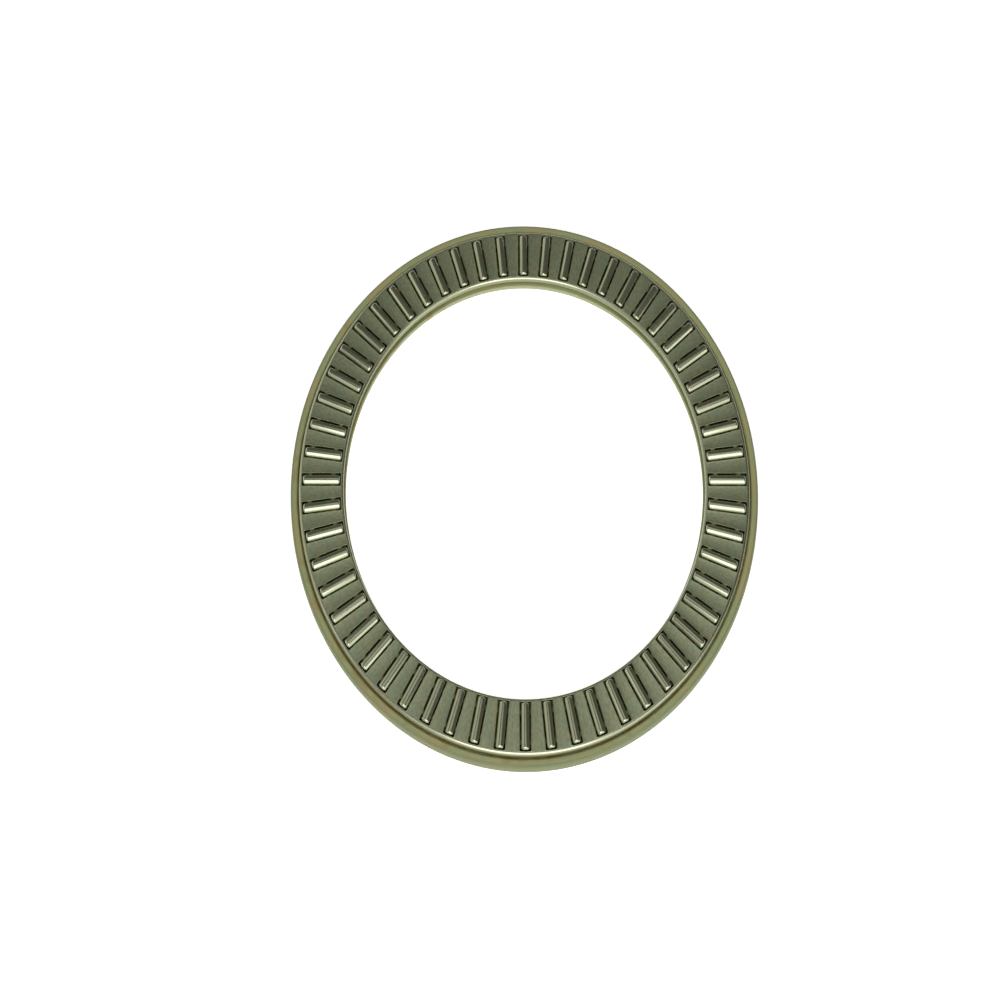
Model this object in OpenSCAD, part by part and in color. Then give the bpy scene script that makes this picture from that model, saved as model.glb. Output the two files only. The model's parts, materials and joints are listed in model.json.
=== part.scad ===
// Thrust needle roller bearing: radial needle rollers in a flat two-piece sheet-metal cage,
// lying in one drawn race whose outer lip surrounds the cage.
// Millimetres, +Z up along the axis of rotation. The origin is the centre of the race's bottom face.

/* [Needle rollers] */
// Number of rollers, each in a window of its own
roller_count = 56; // [28:1:57]
// Diameter of a roller
roller_d = 1.984; // [1.97:0.002:2]
// Length of a roller
roller_l = 7.8; // [7:0.1:7.9]
// Radius that rounds both ends of a roller
roller_end_r = 0.4; // [0.1:0.05:0.6]

/* [Cage] */
// Outside diameter of the cage
cage_od = 95.25; // [95.15:0.05:95.5]
// Bore diameter of the cage
cage_id = 76.2; // [76:0.05:76.25]
// Height of the closed cage
cage_h = 1.2; // [1.18:0.01:1.24]
// Thickness of the sheet that both cage halves are pressed from
sheet_t = 0.3; // [0.26:0.01:0.3]
// Radius over the cage's upper outer edge
outer_bend_r = 0.6; // [0.5:0.02:0.6]
// Radius over the cage's upper inner edge
inner_bend_r = 0.56; // [0.4:0.02:0.56]

/* [Windows] */
// Width of a window, wide enough to show the whole roller
window_w = 2.36; // [2.1:0.02:2.4]
// Length of a window
window_l = 8.24; // [8.1:0.02:8.24]
// Width left between the staked tabs of a window: less than the roller diameter, to keep the roller in
throat_w = 1.93; // [1.92:0.01:1.95]
// Length of a staked tab along the roller
tab_l = 0.7; // [0.4:0.1:1]
// Thickness of a staked tab
tab_t = 0.1; // [0.08:0.01:0.18]

/* [Race] */
// Outside diameter of the race, over its lip
race_od = 98.6; // [98.5:0.1:100]
// Bore diameter of the race
race_id = 75.4; // [74.6:0.1:75.8]
// Thickness of the race under the rollers
race_t = 1; // [0.8:0.05:1.2]
// Thickness of the lip
lip_t = 1.5; // [1.3:0.05:1.6]
// Height of the lip's top above the race's bottom face
lip_h = 1.9; // [1.9:0.05:2.4]
// Radius over the bend between the race's bottom face and its lip
race_bend_r = 0.6; // [0.4:0.05:0.8]

/* [Clearances] */
// Gap between a roller and the raceway
running_gap = 0.01; // [0.01:0.005:0.02]
// Interference between the nested walls of the two cage halves
nest_press = 0.01; // [0.005:0.005:0.02]

/* [Hidden] */
$fn = 96;

race_r = race_od / 2;
race_bore_r = race_id / 2;
cage_r = cage_od / 2;
cage_bore_r = cage_id / 2;
roller_r = roller_d / 2;

// Broken edges of the race's bore
bore_edge = 0.1;
// Fillet at the lip's foot, and the rounded edges of its top: the inner one fills the height left
lip_fillet_r = 0.2;
lip_outer_edge_r = 0.45;
lip_inner_edge_r = min(0.5, lip_h - race_t - lip_fillet_r - 0.05);

// The rollers stand on the raceway, and the cage is centred on their axes
roller_z = race_t + running_gap + roller_r;
cage_top = roller_z + cage_h / 2;
cage_bottom = roller_z - cage_h / 2;
pitch_r = (cage_r + cage_bore_r) / 2;
pitch_deg = 360 / roller_count;

// The cover's lower edges curl round the tray's corners, to curl_deg below the horizontal
tray_corner_r = 0.35;
curl_r = tray_corner_r + sheet_t;
curl_deg = 50;
tray_bottom = cage_bottom + curl_r * sin(curl_deg) - tray_corner_r;
corner_z = tray_bottom + tray_corner_r;
tray_wall_top = cage_top - outer_bend_r;

// Distance from the middle of a window to the middle of each of its staked tabs
tab_x = window_l * 0.3;
// How far a window's cutter passes the sheet that it goes through
overshoot = 1;

function roller_name(i) = str("roller_", i < 10 ? "0" : "", i);

// Points along an arc about (x, y), from angle a0 to angle a1
function arc(x, y, r, a0, a1, steps = 5) =
    [for (k = [0 : steps]) let (a = a0 + (a1 - a0) * k / steps) [x + r * cos(a), y + r * sin(a)]];

// One long side of a window, notched by its two tabs: side is 1 or -1
function notched_side(side) = [
    for (x = [-side * tab_x, side * tab_x], end = [-side, side])
        let (x_end = x + end * tab_l / 2, wide = -side * window_w / 2, narrow = -side * throat_w / 2)
            each end == -side ? [[x_end, wide], [x_end, narrow]] : [[x_end, narrow], [x_end, wide]]
];

// Puts its children at one roller's middle, with X along that roller and away from the axis
module at_roller(i) {
    rotate([0, 0, (i - 1) * pitch_deg])
    translate([pitch_r, 0, 0])
    children();
}

// Full width of a window in either cage half, from z0 up to z1
module window(width, z0, z1) {
    translate([-window_l / 2, -width / 2, z0])
    cube([window_l, width, z1 - z0]);
}

// Window that leaves the staked tabs standing in from its long sides
module tabbed_window(z0, z1) {
    ends = window_l / 2;
    sides = window_w / 2;
    translate([0, 0, z0])
    linear_extrude(z1 - z0)
    polygon(concat(
        [[-ends, -sides]], notched_side(1), [[ends, -sides]],
        [[ends, sides]], notched_side(-1), [[-ends, sides]]
    ));
}

// Drawn washer with its outer edge turned up into a lip
module outer_race() {
    lip_inner_r = race_r - lip_t;
    color([0.56, 0.55, 0.42])
    rotate_extrude()
    polygon(concat(
        [[race_bore_r, bore_edge], [race_bore_r + bore_edge, 0]],
        arc(race_r - race_bend_r, race_bend_r, race_bend_r, -90, 0),
        arc(race_r - lip_outer_edge_r, lip_h - lip_outer_edge_r, lip_outer_edge_r, 0, 90),
        arc(lip_inner_r + lip_inner_edge_r, lip_h - lip_inner_edge_r, lip_inner_edge_r, 90, 180),
        arc(lip_inner_r - lip_fillet_r, race_t + lip_fillet_r, lip_fillet_r, 0, -90),
        [[race_bore_r + bore_edge, race_t], [race_bore_r, race_t - bore_edge]]
    ));
}

// Section of the cover: a channel that opens downward, with both lower edges curled inward
module cover_section() {
    outer_bend = [cage_r - outer_bend_r, cage_top - outer_bend_r];
    inner_bend = [cage_bore_r + inner_bend_r, cage_top - inner_bend_r];
    outer_curl_x = cage_r - curl_r;
    inner_curl_x = cage_bore_r + curl_r;
    polygon(concat(
        arc(outer_curl_x, corner_z, curl_r, -curl_deg, 0),
        arc(outer_bend.x, outer_bend.y, outer_bend_r, 0, 90),
        arc(inner_bend.x, inner_bend.y, inner_bend_r, 90, 180),
        arc(inner_curl_x, corner_z, curl_r, 180, 180 + curl_deg),
        arc(inner_curl_x, corner_z, tray_corner_r, 180 + curl_deg, 180),
        arc(inner_bend.x, inner_bend.y, inner_bend_r - sheet_t, 180, 90),
        arc(outer_bend.x, outer_bend.y, outer_bend_r - sheet_t, 90, 0),
        arc(outer_curl_x, corner_z, tray_corner_r, 0, -curl_deg)
    ));
}

// Upper half of the cage: each window's tabs stand in the lower part of the sheet
module cage_cover() {
    color([0.5, 0.53, 0.45])
    difference() {
        rotate_extrude()
        cover_section();
        for (i = [1 : roller_count])
            at_roller(i) {
                tabbed_window(roller_z, cage_top + overshoot);
                window(window_w, cage_top - sheet_t + tab_t, cage_top + overshoot);
            }
    }
}

// Section of the tray: a channel that opens upward and is pressed into the cover
module tray_section() {
    wall_r = cage_r - sheet_t + nest_press;
    wall_bore_r = cage_bore_r + sheet_t - nest_press;
    outer_x = wall_r - tray_corner_r;
    inner_x = wall_bore_r + tray_corner_r;
    inside_r = tray_corner_r - sheet_t;
    polygon(concat(
        [[wall_r, tray_wall_top], [wall_r - sheet_t, tray_wall_top]],
        arc(outer_x, corner_z, inside_r, 0, -90),
        arc(inner_x, corner_z, inside_r, -90, -180),
        [[wall_bore_r + sheet_t, tray_wall_top], [wall_bore_r, tray_wall_top]],
        arc(inner_x, corner_z, tray_corner_r, -180, -90),
        arc(outer_x, corner_z, tray_corner_r, -90, 0)
    ));
}

// Lower half of the cage: each window's tabs stand in the lower part of the sheet, so no roller drops out
module cage_tray() {
    color([0.45, 0.47, 0.4])
    difference() {
        rotate_extrude()
        tray_section();
        for (i = [1 : roller_count])
            at_roller(i) {
                tabbed_window(tray_bottom - overshoot, roller_z);
                window(window_w, tray_bottom + tab_t, roller_z);
            }
    }
}

// One needle roller, lying on the raceway with its axis pointing away from the centre
module roller(i) {
    half = roller_l / 2;
    round_x = roller_r - roller_end_r;
    color([0.78, 0.78, 0.7])
    at_roller(i)
    translate([0, 0, roller_z])
    rotate([0, 90, 0])
    rotate_extrude()
    polygon(concat(
        [[0, -half]],
        arc(round_x, roller_end_r - half, roller_end_r, -90, 0),
        arc(round_x, half - roller_end_r, roller_end_r, 0, 90),
        [[0, half]]
    ));
}

outer_race();
cage_cover();
cage_tray();
for (i = [1 : roller_count])
    roller(i);
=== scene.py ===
"""Looks of a thrust needle roller bearing: its race, cage and rollers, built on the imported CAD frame."""
import json
import math

import bmesh
import bpy
from mathutils import Matrix, Vector


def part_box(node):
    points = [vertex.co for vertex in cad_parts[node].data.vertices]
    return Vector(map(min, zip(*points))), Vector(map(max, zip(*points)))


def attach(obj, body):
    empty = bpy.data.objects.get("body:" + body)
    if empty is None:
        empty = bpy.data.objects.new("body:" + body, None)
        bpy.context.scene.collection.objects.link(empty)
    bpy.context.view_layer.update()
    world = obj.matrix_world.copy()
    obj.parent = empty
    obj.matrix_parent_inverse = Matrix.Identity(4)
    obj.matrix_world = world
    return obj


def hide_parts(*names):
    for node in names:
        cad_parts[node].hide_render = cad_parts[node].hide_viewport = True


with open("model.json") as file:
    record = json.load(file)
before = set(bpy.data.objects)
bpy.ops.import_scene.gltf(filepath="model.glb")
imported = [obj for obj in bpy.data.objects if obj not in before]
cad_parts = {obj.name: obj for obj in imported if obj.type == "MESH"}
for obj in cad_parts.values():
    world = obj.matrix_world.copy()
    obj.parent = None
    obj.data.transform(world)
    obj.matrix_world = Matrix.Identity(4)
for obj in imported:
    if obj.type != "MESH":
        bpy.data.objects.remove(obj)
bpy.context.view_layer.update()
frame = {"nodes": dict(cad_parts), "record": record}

MM = 0.001
TURN = 2 * math.pi

# ---- Sizes that the frame gives, in metres
mounts = {mount["name"]: mount for mount in frame["record"]["mounts"]}
roller_nodes = sorted(node for node in frame["nodes"] if node.startswith("roller_"))
pitch_angle = TURN / len(roller_nodes)

lip_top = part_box("outer_race")[1].z
race_r = mounts["race_pilot"]["dims"]["r_mm"] * MM
race_bore_r = mounts["race_bore"]["dims"]["r_mm"] * MM

roller_low, roller_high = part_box(roller_nodes[0])
roller_r = (roller_high.z - roller_low.z) / 2
roller_z = (roller_high.z + roller_low.z) / 2
roller_length = roller_high.x - roller_low.x
pitch_r = (roller_high.x + roller_low.x) / 2

cage_low, cage_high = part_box("cage_cover")
cage_r = cage_high.x
cage_bore_r = 2 * pitch_r - cage_r
cage_bottom = cage_low.z
cage_top = cage_high.z

# ---- Details of the design that the frame doesn't list
RUNNING_GAP = 0.01 * MM
BORE_EDGE = 0.1 * MM
RACE_BEND_R = 0.6 * MM
LIP_THICKNESS = 1.5 * MM
LIP_OUTER_EDGE_R = 0.45 * MM
LIP_INNER_EDGE_R = 0.5 * MM
LIP_FILLET_R = 0.2 * MM
ROLLER_END_R = 0.4 * MM
SHEET = 0.3 * MM
OUTER_BEND_R = 0.6 * MM
INNER_BEND_R = 0.56 * MM
CURL_R = 0.65 * MM
CURL_DEGREES = 50
WINDOW_LENGTH = 8.24 * MM
WINDOW_WIDTH = 2.36 * MM
WINDOW_CORNER_R = 0.15 * MM
WINDOW_EDGE_R = 0.03 * MM
RIM_HEIGHT = 0.05 * MM
RIM_WIDTH = 0.24 * MM
THROAT_WIDTH = 1.93 * MM
TAB_LENGTH = 0.7 * MM
TAB_RAMP = 0.12 * MM
TAB_RAMP_DROP = 0.03 * MM
TAB_THICKNESS = 0.1 * MM
# Distance from the middle of a window to the middle of each of its tabs
TAB_X = WINDOW_LENGTH * 0.3

raceway_z = roller_low.z - RUNNING_GAP

# The flat of the cage's upper face lies a little below the rims of its windows
flat_z = cage_top - RIM_HEIGHT

# ---- How finely the meshes are cut
ARC_STEPS = 12
RACE_SEGMENTS_PER_ROLLER = 8
NEEDLE_SEGMENTS = 48
# Across a window's end, round half of one of its corners, and over its rounded edge
END_STEPS = 6
CORNER_STEPS = 2
WINDOW_EDGE_STEPS = 3
# Points nearer the axis than this, in metres, are poles
ON_AXIS = 1e-9
# Points nearer each other than this are one
MERGE_DISTANCE = 0.0005 * MM
# A face whose normal has more than this along Z lies level
LEVEL = 0.9999
# Edges that turn by more than this, in degrees, stay sharp
SHARP_TURN = 35


# ---- Mesh helpers
def link(name, mesh):
    """Puts a mesh in the scene, smooth but for its sharp edges and the faces that lie level."""
    for face in mesh.polygons:
        face.use_smooth = abs(face.normal.z) < LEVEL
    mesh.set_sharp_from_angle(angle=math.radians(SHARP_TURN))
    piece = bpy.data.objects.new(name, mesh)
    bpy.context.scene.collection.objects.link(piece)
    return piece


def arc(x, z, radius, start, end, steps=ARC_STEPS):
    """Points along an arc about (x, z), between two angles in degrees."""
    angles = [math.radians(start + (end - start) * k / steps) for k in range(steps + 1)]
    return [(x + radius * math.cos(a), z + radius * math.sin(a)) for a in angles]


def turned_mesh(name, outline, segments):
    """A closed outline of (radius, height) points, turned about Z. Points on the axis become poles."""
    mesh = bpy.data.meshes.new(name)
    bm = bmesh.new()
    rings = []
    for r, z in outline:
        if r < ON_AXIS:
            rings.append([bm.verts.new((0, 0, z))] * segments)
            continue
        angles = [TURN * s / segments for s in range(segments)]
        rings.append([bm.verts.new((r * math.cos(a), r * math.sin(a), z)) for a in angles])
    for k, ring in enumerate(rings):
        after = rings[(k + 1) % len(rings)]
        for s in range(segments):
            t = (s + 1) % segments
            corners = list(dict.fromkeys((ring[s], ring[t], after[t], after[s])))
            if len(corners) > 2:
                bm.faces.new(corners)
    bmesh.ops.recalc_face_normals(bm, faces=bm.faces)
    bm.to_mesh(mesh)
    bm.free()
    return mesh


# ---- Race
def make_race():
    """Drawn washer with its outer edge turned up into a lip."""
    lip_inner_r = race_r - LIP_THICKNESS
    outline = (
        [(race_bore_r, BORE_EDGE), (race_bore_r + BORE_EDGE, 0)]
        + arc(race_r - RACE_BEND_R, RACE_BEND_R, RACE_BEND_R, -90, 0)
        + arc(race_r - LIP_OUTER_EDGE_R, lip_top - LIP_OUTER_EDGE_R, LIP_OUTER_EDGE_R, 0, 90)
        + arc(lip_inner_r + LIP_INNER_EDGE_R, lip_top - LIP_INNER_EDGE_R, LIP_INNER_EDGE_R, 90, 180)
        + arc(lip_inner_r - LIP_FILLET_R, raceway_z + LIP_FILLET_R, LIP_FILLET_R, 0, -90)
        + [(race_bore_r + BORE_EDGE, raceway_z), (race_bore_r, raceway_z - BORE_EDGE)]
    )
    segments = RACE_SEGMENTS_PER_ROLLER * len(roller_nodes)
    return link("race_drawn", turned_mesh("race_drawn", outline, segments))


# ---- Cage cover
# Where a window's sides are cut between its tabs, as a share of the way to the tabs
MIDDLE_CUT = 0.3
# The rim is full at a window's sides and gone at this share of the way to the middle of its ends
RIM_FADE = 0.625
# The rim's outer slope bends once: at this share of its height, this share of its width away
SLOPE_HEIGHT = 0.4
SLOPE_WIDTH = 0.45


def side_stations():
    """Places along a window's long side, from its outer end to its inner end, that bound the tabs."""
    half = TAB_LENGTH / 2
    near = [TAB_X + half + TAB_RAMP, TAB_X + half, TAB_X - half, TAB_X - half - TAB_RAMP]
    middle = [TAB_X * MIDDLE_CUT, -TAB_X * MIDDLE_CUT]
    return near + middle + [-x for x in reversed(near)]


def window_loop(z, grow=0.0, tabs=False, rim=0.0, widen=0.0):
    """The outline of one window, counter-clockwise. A rim raises its long sides, and fades along its ends."""
    half_x = WINDOW_LENGTH / 2 + grow
    half_y = WINDOW_WIDTH / 2 + grow + widen
    corner = WINDOW_CORNER_R + grow
    stations = side_stations()
    half = TAB_LENGTH / 2

    def side_y(x):
        in_tab = tabs and any(abs(x - c) <= half + TAB_RAMP / 2 for c in (TAB_X, -TAB_X))
        return THROAT_WIDTH / 2 if in_tab else half_y

    def corner_points(sx, sy, start):
        middle_x = sx * (half_x - corner)
        middle_y = sy * (half_y - corner)
        return arc(middle_x, middle_y, corner, start, start + 90, 2 * CORNER_STEPS)

    end_span = half_y - corner
    end_ys = [end_span * (2 * k / END_STEPS - 1) for k in range(1, END_STEPS)]
    points = corner_points(1, -1, -90)[CORNER_STEPS:]
    points += [(half_x, y) for y in end_ys]
    points += corner_points(1, 1, 0)
    points += [(x, side_y(x)) for x in stations]
    points += corner_points(-1, 1, 90)
    points += [(-half_x, -y) for y in end_ys]
    points += corner_points(-1, -1, 180)
    points += [(-x, -side_y(x)) for x in stations]
    points += corner_points(1, -1, -90)[:CORNER_STEPS]
    heights = [z + rim * max(0, 1 - (1 - abs(y) / half_y) / RIM_FADE) for x, y in points]
    return [(x + pitch_r, y, height) for (x, y), height in zip(points, heights)]


def cell_loop(z):
    """The edge of one roller's share of the flat face, with a point for each of window_loop's."""
    inner_r = cage_bore_r + INNER_BEND_R
    outer_r = cage_r - OUTER_BEND_R
    end_steps = END_STEPS + 2 * CORNER_STEPS
    corner_share = [k * WINDOW_CORNER_R for k in range(CORNER_STEPS + 1)]
    sides = [outer_r - c for c in corner_share]
    sides += [inner_r + (outer_r - inner_r) * (x / WINDOW_LENGTH + 0.5) for x in side_stations()]
    sides += [inner_r + c for c in reversed(corner_share)]
    turns = [pitch_angle * (k / end_steps - 0.5) for k in range(end_steps + 1)]
    points = [(outer_r, a) for a in turns[:-1]]
    points += [(r, turns[-1]) for r in sides[:-1]]
    points += [(inner_r, -a) for a in turns[:-1]]
    points += [(r, turns[0]) for r in reversed(sides[1:])]
    return [(r * math.cos(a), r * math.sin(a), z) for r, a in points]


def cover_cell(bm):
    """One roller's share of the flat sheet: both faces, and the window's rounded edge, walls and tabs."""
    under = cage_top - SHEET
    tab_top = under + TAB_THICKNESS
    rounding = []
    for k in range(WINDOW_EDGE_STEPS + 1):
        a = math.radians(90 * k / WINDOW_EDGE_STEPS)
        drop = WINDOW_EDGE_R * (1 - math.cos(a))
        rounding.append(window_loop(flat_z - drop, WINDOW_EDGE_R * (1 - math.sin(a)), rim=RIM_HEIGHT))
    rim_foot = window_loop(flat_z, WINDOW_EDGE_R, widen=RIM_WIDTH)
    rim_slope = window_loop(
        flat_z, WINDOW_EDGE_R, rim=RIM_HEIGHT * SLOPE_HEIGHT, widen=RIM_WIDTH * SLOPE_WIDTH)
    loops = [cell_loop(flat_z), rim_foot, rim_slope] + rounding
    loops += [window_loop(tab_top), window_loop(tab_top - TAB_RAMP_DROP, tabs=True)]
    loops += [window_loop(under, tabs=True), cell_loop(under)]
    rings = [[bm.verts.new(p) for p in loop] for loop in loops]
    for ring, after in zip(rings, rings[1:]):
        for k in range(len(ring)):
            m = (k + 1) % len(ring)
            bm.faces.new((ring[k], ring[m], after[m], after[k]))


def cover_walls():
    """The cover's outer and inner walls as open outlines, from the flat's upper face round to its lower."""
    corner_z = cage_bottom + CURL_R * math.sin(math.radians(CURL_DEGREES))
    outer_x = cage_r - OUTER_BEND_R
    inner_x = cage_bore_r + INNER_BEND_R
    inside_curl_r = CURL_R - SHEET
    outer_wall = (
        arc(outer_x, flat_z - OUTER_BEND_R, OUTER_BEND_R, 90, 0)
        + arc(cage_r - CURL_R, corner_z, CURL_R, 0, -CURL_DEGREES)
        + arc(cage_r - CURL_R, corner_z, inside_curl_r, -CURL_DEGREES, 0)
        + arc(outer_x, cage_top - OUTER_BEND_R, OUTER_BEND_R - SHEET, 0, 90)
    )
    inner_wall = (
        arc(inner_x, flat_z - INNER_BEND_R, INNER_BEND_R, 90, 180)
        + arc(cage_bore_r + CURL_R, corner_z, CURL_R, 180, 180 + CURL_DEGREES)
        + arc(cage_bore_r + CURL_R, corner_z, inside_curl_r, 180 + CURL_DEGREES, 180)
        + arc(inner_x, cage_top - INNER_BEND_R, INNER_BEND_R - SHEET, 180, 90)
    )
    return outer_wall, inner_wall


def cover_wall_strip(bm, outline):
    """One roller's share of a wall, turned about Z in steps that match the flat face's."""
    steps = END_STEPS + 2 * CORNER_STEPS
    rows = []
    for k in range(steps + 1):
        a = pitch_angle * (k / steps - 0.5)
        rows.append([bm.verts.new((r * math.cos(a), r * math.sin(a), z)) for r, z in outline])
    for row, after in zip(rows, rows[1:]):
        for k in range(len(outline) - 1):
            bm.faces.new((row[k], row[k + 1], after[k + 1], after[k]))


def make_cage_cover():
    """Upper half of the cage: a pressed channel with a window over each roller."""
    bm = bmesh.new()
    cover_cell(bm)
    for outline in cover_walls():
        cover_wall_strip(bm, outline)
    sector = bm.verts[:] + bm.edges[:] + bm.faces[:]
    for k in range(1, len(roller_nodes)):
        copied = bmesh.ops.duplicate(bm, geom=sector)["geom"]
        moved = [item for item in copied if isinstance(item, bmesh.types.BMVert)]
        turn = Matrix.Rotation(k * pitch_angle, 3, "Z")
        bmesh.ops.rotate(bm, verts=moved, cent=(0, 0, 0), matrix=turn)
    bmesh.ops.remove_doubles(bm, verts=bm.verts, dist=MERGE_DISTANCE)
    bmesh.ops.recalc_face_normals(bm, faces=bm.faces)
    mesh = bpy.data.meshes.new("cage_cover_pressed")
    bm.to_mesh(mesh)
    bm.free()
    return link("cage_cover_pressed", mesh)


# ---- Rollers
def roller_mesh():
    """A needle with rounded ends, along X about the pitch circle's point on +X."""
    half = roller_length / 2
    waist = roller_r - ROLLER_END_R
    outline = (
        [(0, -half)]
        + arc(waist, ROLLER_END_R - half, ROLLER_END_R, -90, 0)
        + arc(waist, half - ROLLER_END_R, ROLLER_END_R, 0, 90)
        + [(0, half)]
    )
    mesh = turned_mesh("needle", outline, NEEDLE_SEGMENTS)
    along_x = Matrix.Rotation(math.radians(90), 4, "Y")
    mesh.transform(Matrix.Translation((pitch_r, 0, roller_z)) @ along_x)
    return mesh


def make_rollers():
    """One needle for each roller of the frame, in its order round the cage."""
    mesh = roller_mesh()
    needles = []
    for k, node in enumerate(roller_nodes):
        own_mesh = mesh.copy()
        own_mesh.transform(Matrix.Rotation(k * pitch_angle, 4, "Z"))
        needle = link(node.replace("roller", "needle"), own_mesh)
        needles.append(needle)
    bpy.data.meshes.remove(mesh)
    return needles


# ---- Materials
# Colours are linear red, green and blue
CAGE_GREEN = (0.57, 0.66, 0.455)
CAGE_BROWN = (0.66, 0.65, 0.43)
# The tray is the cover's steel in darker colours: painted shade for the half that lies under the cover
TRAY_SHADED_GREEN = (0.36, 0.39, 0.27)
TRAY_SHADED_BROWN = (0.39, 0.38, 0.27)
CAGE_BEND = (0.56, 0.58, 0.45)
CAGE_STAIN = (0.42, 0.42, 0.23)
CAGE_BORE_DARK = (0.32, 0.34, 0.18)
# Painted shade for the windows' walls, their tabs and the underside of the sheet
WINDOW_SHADE = (0.16, 0.155, 0.06)
RACE_GREEN = (0.38, 0.42, 0.215)
RACE_TAN = (0.44, 0.41, 0.2)
RACE_LINES = (0.2, 0.19, 0.1)
# Grease and painted shade on the race's ledge beside its bore, in the gap under the cage
RACE_GREASE_AND_SHADE = (0.23, 0.25, 0.12)
WALL_GREEN = (0.22, 0.26, 0.14)
WALL_BROWN = (0.25, 0.25, 0.13)
BORE_WALL = (0.38, 0.4, 0.24)
RUST = (0.3, 0.215, 0.07)
RUST_SPOT = (0.3, 0.2, 0.07)
NEEDLE_GREEN = (0.53, 0.57, 0.41)
NEEDLE_GREY = (0.57, 0.58, 0.44)

# Worn sheet keeps this share of the sheet's green
WORN_SHARE = 0.72
# How much of the colour below the cage's top face is painted shade: down the windows' walls, on their tabs
# and under the sheet
WINDOW_SHADE_SHARE = 0.72
# The painted shade is full below the first of these depths under the cage's top, and gone above the second
WINDOW_SHADE_DEPTHS = (0.19 * MM, 0.07 * MM)
# How much of the colour is rust in the lip's thread, and in the spots on its top
RUST_SHARE = 0.75
SPOT_SHARE = 0.4
# What the patches of rust gain for each metre to the right and for each metre away from the viewer
RUST_LEAN = -2.25
# Width over which the look of the cage's flat turns into that of its bends
BEND_BLEND = 0.2 * MM
# Widths of the cage's stained outside and darker bore, of the race's ledge with grease and painted shade, and
# of its darker outer wall
CAGE_STAIN_WIDTH = 0.3 * MM
CAGE_BORE_DARK_WIDTH = 0.22 * MM
RACE_GREASE_AND_SHADE_WIDTH = 2 * MM
RACE_WALL_WIDTH = 0.6 * MM
# Distance from the inside of the lip at which its thread of rust ends
RUST_WIDTH = 0.45 * MM
# Height of the finest grain of the sheet and of the race
GRAIN_DEPTH = 0.004 * MM
# The race's oxide hides nearly all of its metal
RACE_METALLIC = 0.1


class Recipe:
    """One metal's material, built up from procedural nodes in the object's own coordinates."""

    def __init__(self, name):
        self.material = bpy.data.materials.new(name)
        self.material.use_nodes = True
        self.nodes = self.material.node_tree.nodes
        self.links = self.material.node_tree.links
        self.shader = self.nodes["Principled BSDF"]
        place = self.nodes.new("ShaderNodeTexCoord").outputs["Object"]
        split = self.nodes.new("ShaderNodeSeparateXYZ")
        self.links.new(place, split.inputs[0])
        self.place = place
        self.x, self.y, self.z = split.outputs
        self.angle = self.math("ARCTAN2", self.y, self.x)
        square_x = self.math("MULTIPLY", self.x, self.x)
        square_y = self.math("MULTIPLY", self.y, self.y)
        self.radius = self.math("SQRT", self.math("ADD", square_x, square_y))

    def join(self, value, socket):
        """Links a node's output to a socket, or sets the socket to a plain value."""
        if isinstance(value, bpy.types.NodeSocket):
            self.links.new(value, socket)
        else:
            socket.default_value = value

    def math(self, operation, a, b=0.0):
        node = self.nodes.new("ShaderNodeMath")
        node.operation = operation
        self.join(a, node.inputs[0])
        self.join(b, node.inputs[1])
        return node.outputs[0]

    def ramp(self, value, low, high, low_out=0.0, high_out=1.0):
        """The value, mapped smoothly from low..high to low_out..high_out."""
        node = self.nodes.new("ShaderNodeMapRange")
        node.interpolation_type = "SMOOTHSTEP"
        for socket, setting in zip(node.inputs, (value, low, high, low_out, high_out)):
            self.join(setting, socket)
        return node.outputs[0]

    def fall(self, value, low, high):
        """1 where the value is below low, smoothly down to 0 where it is above high."""
        return self.ramp(value, low, high, 1, 0)

    def polar(self, around, outward, upward):
        """Coordinates that run round the axis, out from it and up, in cycles per metre."""
        node = self.nodes.new("ShaderNodeCombineXYZ")
        self.join(self.math("MULTIPLY", self.angle, around * pitch_r), node.inputs[0])
        self.join(self.math("MULTIPLY", self.radius, outward), node.inputs[1])
        self.join(self.math("MULTIPLY", self.z, upward), node.inputs[2])
        return node.outputs[0]

    def noise(self, place, scale=1.0, detail=2.0):
        """Noise about 0.5, with this many cycles per metre where the place is in metres."""
        node = self.nodes.new("ShaderNodeTexNoise")
        self.join(place, node.inputs["Vector"])
        node.inputs["Scale"].default_value = scale
        node.inputs["Detail"].default_value = detail
        return node.outputs["Fac"]

    def mix(self, share, a, b):
        """Colour a where the share is 0, and colour b where it is 1."""
        node = self.nodes.new("ShaderNodeMix")
        node.data_type = "RGBA"
        self.join(share, node.inputs["Factor"])
        colour_sockets = [socket for socket in node.inputs if socket.type == "RGBA"]
        for colour, socket in zip((a, b), colour_sockets):
            self.join(colour if isinstance(colour, bpy.types.NodeSocket) else (*colour, 1), socket)
        return next(socket for socket in node.outputs if socket.type == "RGBA")

    def bump(self, height, depth):
        """Raises the surface by up to depth, in metres, where height is 1."""
        node = self.nodes.new("ShaderNodeBump")
        node.inputs["Distance"].default_value = depth
        self.join(height, node.inputs["Height"])
        self.join(node.outputs[0], self.shader.inputs["Normal"])

    def finish(self, colour, metallic, roughness):
        """The material, once its shader has these."""
        self.join(colour, self.shader.inputs["Base Color"])
        self.join(metallic, self.shader.inputs["Metallic"])
        self.join(roughness, self.shader.inputs["Roughness"])
        return self.material


def sheet_colour(recipe, grain, green, brown):
    """Clouds of green and brown, darkened by the grain, by worn patches and by fine specks."""
    worn = tuple(channel * WORN_SHARE for channel in green)
    clouds = recipe.noise(recipe.place, scale=420, detail=4)
    wear = recipe.noise(recipe.place, scale=190, detail=5)
    specks = recipe.noise(recipe.polar(around=2400, outward=1300, upward=2400), detail=2)
    colour = recipe.mix(recipe.ramp(clouds, 0.38, 0.6), green, brown)
    colour = recipe.mix(recipe.ramp(grain, 0.35, 0.75, high_out=0.4), colour, worn)
    colour = recipe.mix(recipe.ramp(wear, 0.42, 0.68, high_out=0.35), colour, worn)
    return recipe.mix(recipe.ramp(specks, 0.4, 0.62, high_out=0.6), colour, worn)


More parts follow.
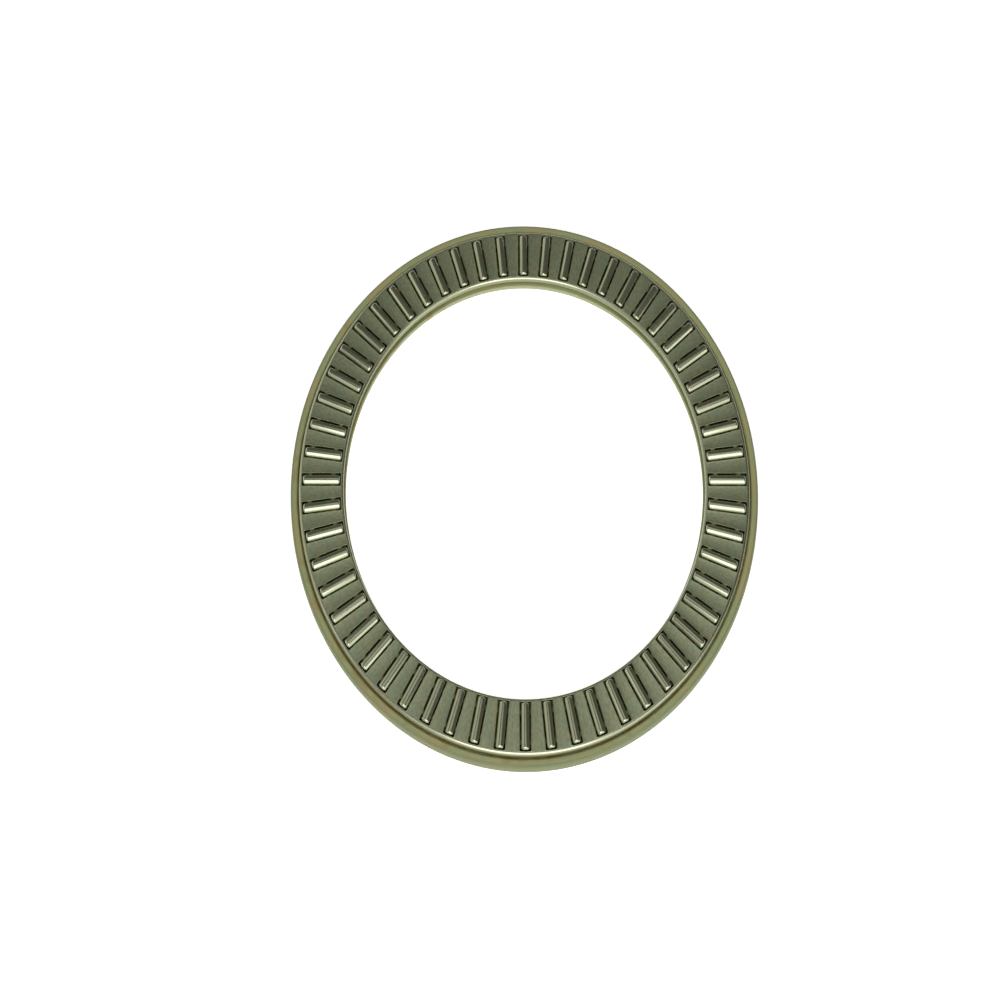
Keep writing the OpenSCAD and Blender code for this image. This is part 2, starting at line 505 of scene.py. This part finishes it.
def cage_bands(recipe):
    """Where the cage is flat, stained along its outer bend, and darker and matt along its bore.

    Each is 1 there and 0 elsewhere, with a soft border.
    """
    inner_x = cage_bore_r + INNER_BEND_R
    outer_x = cage_r - OUTER_BEND_R
    past_inner_bend = recipe.ramp(recipe.radius, inner_x - BEND_BLEND, inner_x)
    before_outer_bend = recipe.fall(recipe.radius, outer_x, outer_x + BEND_BLEND)
    flat = recipe.math("MULTIPLY", past_inner_bend, before_outer_bend)
    stained = recipe.ramp(recipe.radius, cage_r - CAGE_STAIN_WIDTH, cage_r - 0.02 * MM)
    darker_by_bore = recipe.fall(recipe.radius, cage_bore_r + 0.03 * MM, cage_bore_r + CAGE_BORE_DARK_WIDTH)
    return flat, stained, darker_by_bore


def brushed_cage_steel(name, green, brown):
    """Sheet steel with a fine radial grain and smoother bends, with painted shade down its windows' walls and
    under the sheet.
    """
    recipe = Recipe(name)
    grain = recipe.noise(recipe.polar(around=2600, outward=130, upward=700), detail=4)
    flat, stained, darker_by_bore = cage_bands(recipe)
    # Painted shade, full down the windows' walls, on the tabs and under the sheet, wherever the flat lies
    # below the top
    shade_full, shade_gone = (cage_top - depth for depth in WINDOW_SHADE_DEPTHS)
    shaded_below_top = recipe.math("MULTIPLY", recipe.fall(recipe.z, shade_full, shade_gone), flat)
    colour = recipe.mix(flat, CAGE_BEND, sheet_colour(recipe, grain, green, brown))
    colour = recipe.mix(recipe.math("MULTIPLY", shaded_below_top, WINDOW_SHADE_SHARE), colour, WINDOW_SHADE)
    colour = recipe.mix(stained, colour, CAGE_STAIN)
    colour = recipe.mix(darker_by_bore, colour, CAGE_BORE_DARK)
    recipe.bump(grain, GRAIN_DEPTH)
    grainy = recipe.ramp(grain, 0.3, 0.7, low_out=0.36, high_out=0.44)
    satin = recipe.math("ADD", grainy, recipe.ramp(flat, 0, 1, low_out=-0.18, high_out=0))
    matt = recipe.ramp(recipe.math("ADD", stained, darker_by_bore), 0, 1, high_out=0.2)
    bare = recipe.ramp(darker_by_bore, 0, 1, low_out=1, high_out=0.35)
    metallic = recipe.math("SUBTRACT", bare, recipe.ramp(stained, 0, 1, high_out=0.3))
    return recipe.finish(colour, metallic, recipe.math("ADD", satin, matt))


def race_colour(recipe, turning, outward):
    """Tan above and darker on the outer wall, with turning lines, an olive bore, and grease with painted
    shade on the ledge beside it under the cage.
    """
    clouds = recipe.noise(recipe.place, scale=170, detail=4)
    tan = recipe.mix(recipe.ramp(clouds, 0.36, 0.64), RACE_GREEN, RACE_TAN)
    wall = recipe.mix(recipe.ramp(clouds, 0.35, 0.65), WALL_GREEN, WALL_BROWN)
    colour = recipe.mix(outward, tan, wall)
    colour = recipe.mix(recipe.ramp(turning, 0.45, 0.75, high_out=0.3), colour, RACE_LINES)
    covered = recipe.ramp(recipe.radius, race_bore_r, race_bore_r + 0.3 * MM)
    colour = recipe.mix(recipe.fall(covered, 0, 1), colour, BORE_WALL)
    # Grease and painted shade on the ledge beside the bore, in the gap under the cage
    ledge = recipe.fall(recipe.radius, race_bore_r + RACE_GREASE_AND_SHADE_WIDTH / 2, race_bore_r + RACE_GREASE_AND_SHADE_WIDTH)
    # The grease and its painted shade thin out toward the far side
    thinning = recipe.ramp(recipe.y, 0.8 * race_bore_r, 0.96 * race_bore_r, low_out=1, high_out=0.1)
    darker_by_bore = recipe.math("MULTIPLY", recipe.math("MULTIPLY", covered, thinning), ledge)
    return recipe.mix(darker_by_bore, colour, RACE_GREASE_AND_SHADE)


def rusted(recipe, colour, outward):
    """The colour with a thread of rust inside the lip and a few spots on top, both more to the near left."""
    noise = recipe.noise(recipe.place, scale=300, detail=5)
    lean = recipe.math("MULTIPLY", recipe.math("ADD", recipe.x, recipe.y), RUST_LEAN)
    patches = recipe.math("ADD", noise, lean)
    lip_inner_r = race_r - LIP_THICKNESS
    inside = recipe.fall(recipe.radius, lip_inner_r + 0.05 * MM, lip_inner_r + RUST_WIDTH)
    thread = recipe.math("MULTIPLY", recipe.ramp(patches, 0.5, 0.68), inside)
    colour = recipe.mix(recipe.math("MULTIPLY", thread, RUST_SHARE), colour, RUST)
    on_top = recipe.ramp(inside, 0, 1, low_out=SPOT_SHARE, high_out=0)
    spots = recipe.math("MULTIPLY", recipe.ramp(patches, 0.6, 0.78), on_top)
    spots = recipe.math("MULTIPLY", spots, recipe.fall(outward, 0, 0.4))
    return recipe.mix(spots, colour, RUST_SPOT)


def race_steel():
    """Drawn steel, lightly oxidised to a matt tan, with a darker wall and a thread of rust inside the lip."""
    recipe = Recipe("race_steel")
    turning = recipe.noise(recipe.polar(around=60, outward=5200, upward=5200), detail=3)
    outward = recipe.ramp(recipe.radius, race_r - RACE_WALL_WIDTH, race_r - RACE_WALL_WIDTH / 4)
    colour = rusted(recipe, race_colour(recipe, turning, outward), outward)
    recipe.bump(turning, GRAIN_DEPTH)
    roughness = recipe.ramp(turning, 0.3, 0.7, low_out=0.6, high_out=0.7)
    return recipe.finish(colour, RACE_METALLIC, roughness)


def roller_steel():
    """Ground and polished needles, each with the faintest lines round it."""
    recipe = Recipe("roller_steel")
    lines = recipe.noise(recipe.polar(around=90, outward=3600, upward=90), detail=2)
    clouds = recipe.noise(recipe.place, scale=330, detail=2)
    colour = recipe.mix(recipe.ramp(clouds, 0.35, 0.65), NEEDLE_GREEN, NEEDLE_GREY)
    roughness = recipe.ramp(lines, 0.3, 0.7, low_out=0.16, high_out=0.24)
    return recipe.finish(colour, 1.0, roughness)


def paint(piece, material):
    """Gives a piece this material alone."""
    piece.data.materials.clear()
    piece.data.materials.append(material)


# ---- Stage
FLOOR_SIZE = 8
FLOOR_COLOUR = (0.86, 0.86, 0.86, 1)
# The floor glows a little, so that it stays pale round the part
FLOOR_GLOW = 0.7
WORLD_COLOUR = (1, 1, 0.85, 1)
WORLD_STRENGTH = 0.1


def make_floor():
    """A plain pale floor at the foot of the part."""
    half = FLOOR_SIZE / 2
    corners = [(-half, -half, 0), (half, -half, 0), (half, half, 0), (-half, half, 0)]
    mesh = bpy.data.meshes.new("floor")
    mesh.from_pydata(corners, [], [(0, 1, 2, 3)])
    floor = bpy.data.objects.new("floor", mesh)
    bpy.context.scene.collection.objects.link(floor)
    material = bpy.data.materials.new("floor_white")
    material.use_nodes = True
    shader = material.node_tree.nodes["Principled BSDF"]
    shader.inputs["Base Color"].default_value = FLOOR_COLOUR
    shader.inputs["Roughness"].default_value = 0.9
    shader.inputs["Specular IOR Level"].default_value = 0.1
    shader.inputs["Emission Color"].default_value = (1, 1, 1, 1)
    shader.inputs["Emission Strength"].default_value = FLOOR_GLOW
    paint(floor, material)


def softbox(name, azimuth, elevation, distance, width, height, radiance, blue):
    """A soft panel of light that faces the ring, yellower the less blue it has.

    Azimuth 0 is the viewer's side and 90 the right, in degrees. Lengths are in metres.
    """
    a = math.radians(azimuth)
    e = math.radians(elevation)
    toward = Vector((math.sin(a) * math.cos(e), -math.cos(a) * math.cos(e), math.sin(e)))
    light = bpy.data.lights.new(name, "AREA")
    light.shape = "RECTANGLE"
    light.size = width
    light.size_y = height
    light.energy = radiance * math.pi * width * height
    light.color = (1, 1, blue)
    panel = bpy.data.objects.new(name, light)
    panel.location = toward * distance
    panel.rotation_euler = toward.to_track_quat("Z", "Y").to_euler()
    panel.visible_camera = False
    bpy.context.scene.collection.objects.link(panel)


def make_lights():
    """A tall key with a brighter core on the viewer's side, dimmer panels to its right and left, and a small
    dim one close above the ring."""
    softbox(
        "key", azimuth=0, elevation=38, distance=1.6, width=1.15, height=2.3,
        radiance=0.75, blue=0.97)
    softbox(
        "key_core", azimuth=0, elevation=54, distance=0.5, width=0.34, height=0.44,
        radiance=1.3, blue=0.97)
    softbox(
        "right_fill", azimuth=44, elevation=28, distance=1.6, width=1.3, height=1.6,
        radiance=1, blue=0.92)
    softbox(
        "front_left_fill", azimuth=-33, elevation=38, distance=1.6, width=0.8, height=1.6,
        radiance=0.6, blue=0.94)
    softbox(
        "left_front_fill", azimuth=-74, elevation=42, distance=1.6, width=0.9, height=1.3,
        radiance=0.35, blue=0.9)
    softbox(
        "right_side_fill", azimuth=68, elevation=22, distance=1.6, width=0.6, height=0.9,
        radiance=0.45, blue=0.92)
    softbox(
        "left_fill", azimuth=-116, elevation=26, distance=1.6, width=2.2, height=1.6,
        radiance=0.46, blue=0.84)
    softbox(
        "ceiling", azimuth=140, elevation=79, distance=0.3, width=0.24, height=0.15,
        radiance=0.42, blue=0.92)


def make_world():
    """A faint even light from everywhere else, and colours shown as they are."""
    world = bpy.data.worlds.new("studio")
    world.use_nodes = True
    background = world.node_tree.nodes["Background"]
    background.inputs["Color"].default_value = WORLD_COLOUR
    background.inputs["Strength"].default_value = WORLD_STRENGTH
    bpy.context.scene.world = world
    bpy.context.scene.view_settings.view_transform = "Standard"


# ---- Camera
# The picture that sets the view is squeezed to three quarters of its width. A camera whose picture
# plane leans back by the matching angle sees the same outline, and the ring itself stays round.
SQUEEZE = 0.75
# Degrees round the axis from the -Y side, and degrees above the floor
VIEW_AZIMUTH = -0.5
VIEW_ELEVATION = 60.5
# Metres from the middle of the cage's face
VIEW_DISTANCE = 1.115
# Millimetres
LENS = 190.57
SENSOR_WIDTH = 36
AIM = Vector((-5.1 * MM, -3.8 * MM, cage_top))


def make_camera():
    """The view camera. Its leaning picture plane skews its matrix, so a parent's inverse holds the skew."""
    data = bpy.data.cameras.new("camera")
    data.sensor_width = SENSOR_WIDTH
    data.lens = LENS
    camera = bpy.data.objects.new("camera", data)
    holder = bpy.data.objects.new("camera_holder", None)
    for item in (holder, camera):
        bpy.context.scene.collection.objects.link(item)
    bpy.context.scene.camera = camera
    elevation = math.radians(VIEW_ELEVATION)
    toward = Vector((0, -math.cos(elevation), math.sin(elevation)))
    place = Vector((0, 0, cage_top)) + toward * VIEW_DISTANCE
    back = (place - AIM).normalized()
    right = Vector((0, 0, 1)).cross(back).normalized()
    upright = back.cross(right)
    lean = math.acos(SQUEEZE)
    up = upright * math.cos(lean) + back * math.sin(lean)
    leaning = Matrix.Identity(4)
    for column, axis in enumerate((right, up, back, place)):
        for row in range(3):
            leaning[row][column] = axis[row]
    camera.parent = holder
    camera.matrix_parent_inverse = Matrix.Rotation(math.radians(VIEW_AZIMUTH), 4, "Z") @ leaning


make_camera()
make_floor()
make_lights()
make_world()

race = make_race()
paint(race, race_steel())
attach(race, "race")
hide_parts("outer_race")

cover = make_cage_cover()
paint(cover, brushed_cage_steel("cage_steel", CAGE_GREEN, CAGE_BROWN))
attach(cover, "cage")
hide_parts("cage_cover")

# The tray gets the cage's steel in darker colours, as painted shade for the half under the cover
paint(frame["nodes"]["cage_tray"], brushed_cage_steel("cage_inner_steel", TRAY_SHADED_GREEN, TRAY_SHADED_BROWN))

needle_finish = roller_steel()
for node, needle in zip(roller_nodes, make_rollers()):
    paint(needle, needle_finish)
    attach(needle, node)
    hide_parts(node)
